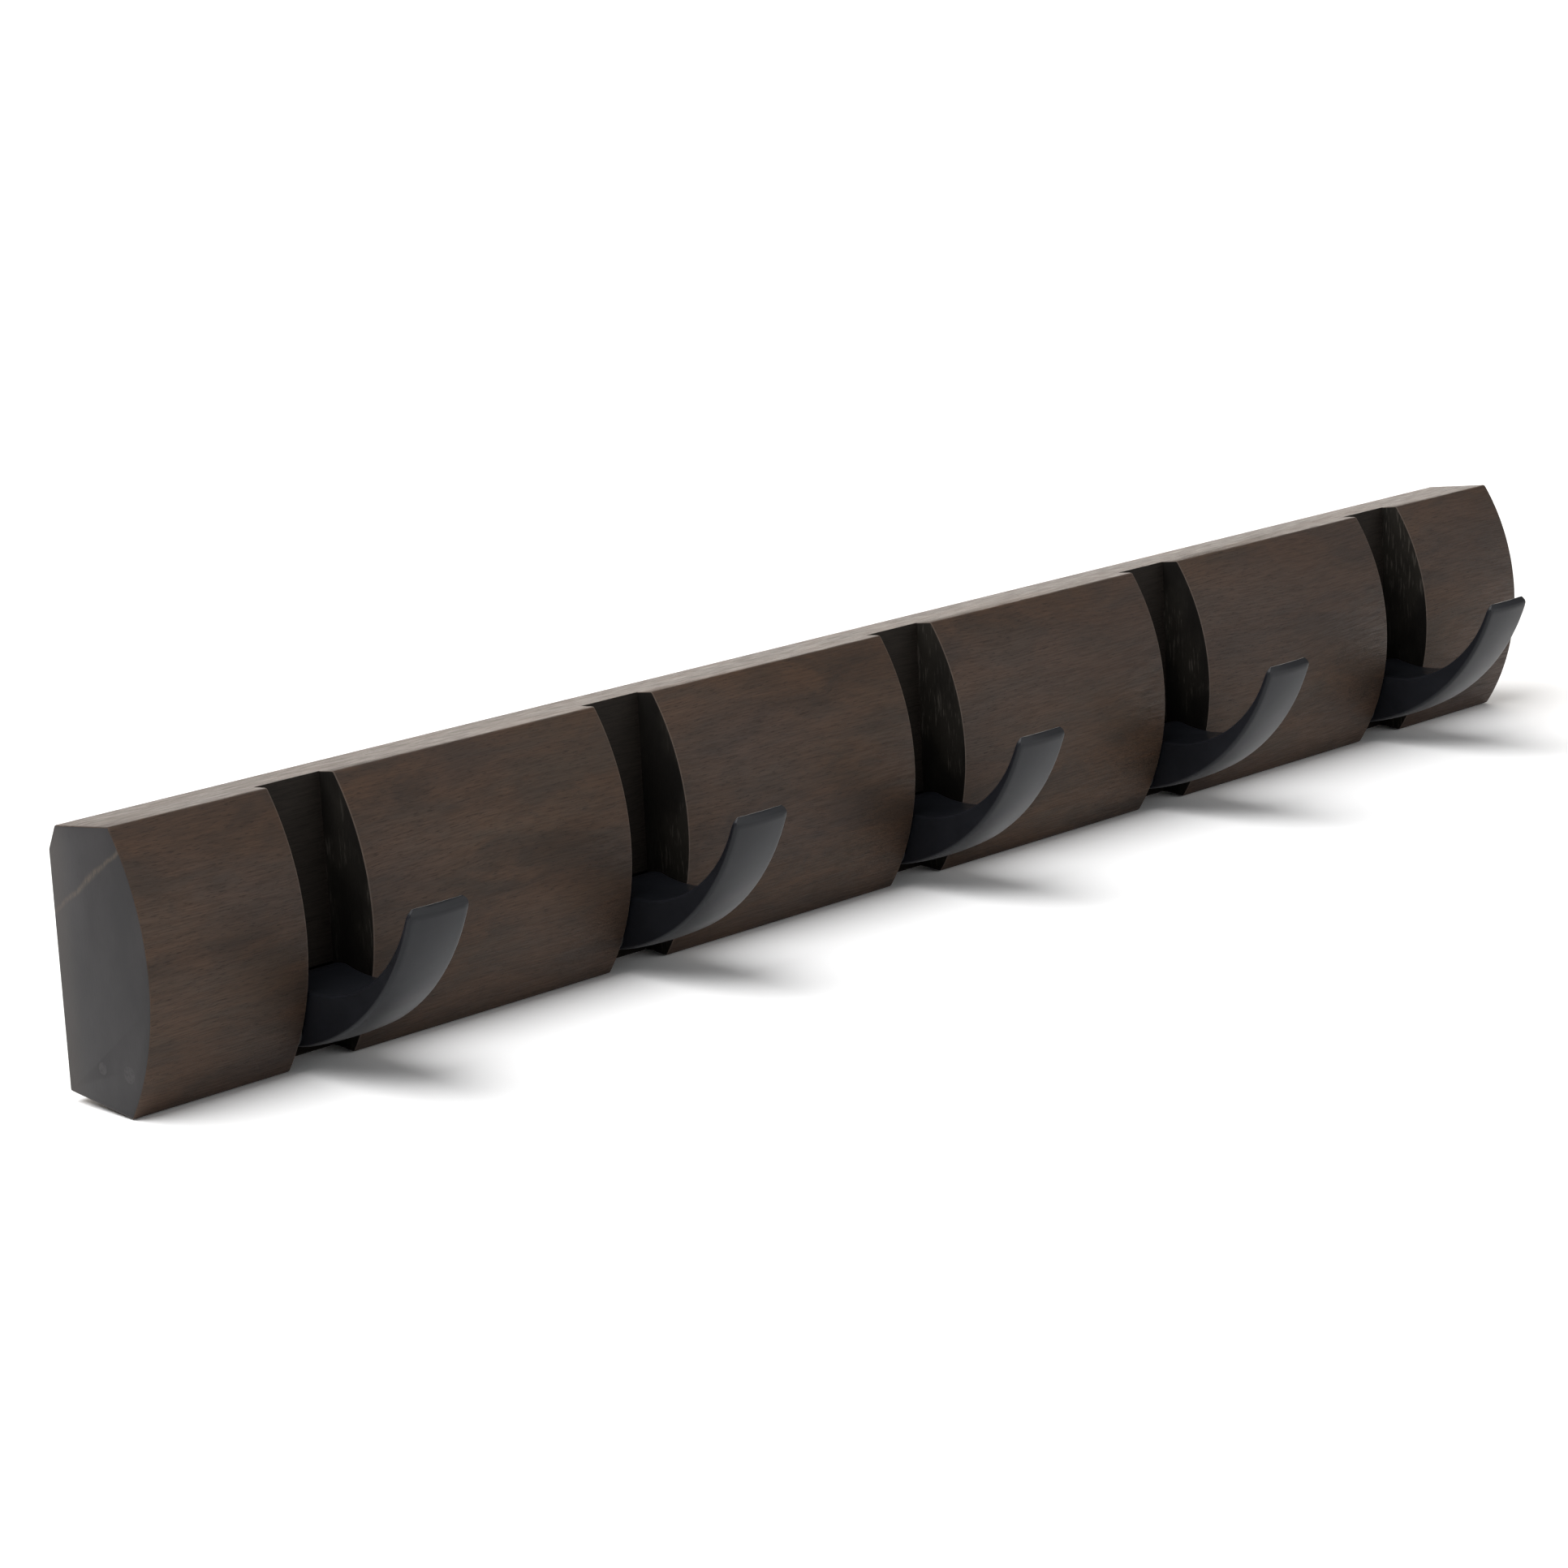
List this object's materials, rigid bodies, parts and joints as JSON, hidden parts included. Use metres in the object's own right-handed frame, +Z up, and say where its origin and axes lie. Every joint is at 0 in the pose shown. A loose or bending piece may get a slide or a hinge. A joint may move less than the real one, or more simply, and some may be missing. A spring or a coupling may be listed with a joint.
{
  "type": "wall hook rack",
  "caption": "Long bowed wooden wall rail with slots, each holding a black metal hook that folds up flush on a pivot rod and opens onto a stop.",
  "frame": {"origin": "middle of the rail's back face, on the wall plane, half way up the rail", "axes": "+X along the rail, +Y into the wall, +Z up; the hooks come out towards -Y"},
  "size_m": [0.514, 0.0716, 0.068],
  "materials": {
    "stained_wood": "satin dark brown stain over straight grain",
    "plug_wood": "stained end grain",
    "black_metal": "satin black powder coat",
    "rod_steel": "drawn",
    "zinc_plate": "zinc plated",
    "screw_steel": "zinc plated",
    "nylon": "moulded"
  },
  "bodies": {
    "rack": {"rail": "stained_wood", "pivot_washers_1": "nylon", "pivot_washers_2": "nylon", "pivot_washers_3": "nylon", "pivot_washers_4": "nylon", "pivot_washers_5": "nylon", "pivot_rod": "rod_steel", "stop_rod": "rod_steel", "pivot_rod_plug": "plug_wood", "stop_rod_plug": "plug_wood", "keyhole_plate_left": "zinc_plate", "keyhole_plate_right": "zinc_plate", "keyhole_screws_left": "screw_steel", "keyhole_screws_right": "screw_steel"},
    "folding_hook_1": {"hook_1": "black_metal", "hub_bushing_1": "nylon"},
    "folding_hook_2": {"hook_2": "black_metal", "hub_bushing_2": "nylon"},
    "folding_hook_3": {"hook_3": "black_metal", "hub_bushing_3": "nylon"},
    "folding_hook_4": {"hook_4": "black_metal", "hub_bushing_4": "nylon"},
    "folding_hook_5": {"hook_5": "black_metal", "hub_bushing_5": "nylon"}
  },
  "joints": [
    {"name": "hook_1_fold", "type": "hinge", "parent": "rack", "child": "folding_hook_1", "pos_m": [-0.20264, -0.0239, -0.0234], "axis": [-1, 0, 0], "range_deg": [0, 55.8]},
    {"name": "hook_2_fold", "type": "hinge", "parent": "rack", "child": "folding_hook_2", "pos_m": [-0.10132, -0.0239, -0.0234], "axis": [-1, 0, 0], "range_deg": [0, 55.8]},
    {"name": "hook_3_fold", "type": "hinge", "parent": "rack", "child": "folding_hook_3", "pos_m": [0, -0.0239, -0.0234], "axis": [-1, 0, 0], "range_deg": [0, 55.8]},
    {"name": "hook_4_fold", "type": "hinge", "parent": "rack", "child": "folding_hook_4", "pos_m": [0.10132, -0.0239, -0.0234], "axis": [-1, 0, 0], "range_deg": [0, 55.8]},
    {"name": "hook_5_fold", "type": "hinge", "parent": "rack", "child": "folding_hook_5", "pos_m": [0.20264, -0.0239, -0.0234], "axis": [-1, 0, 0], "range_deg": [0, 55.8]}
  ]
}
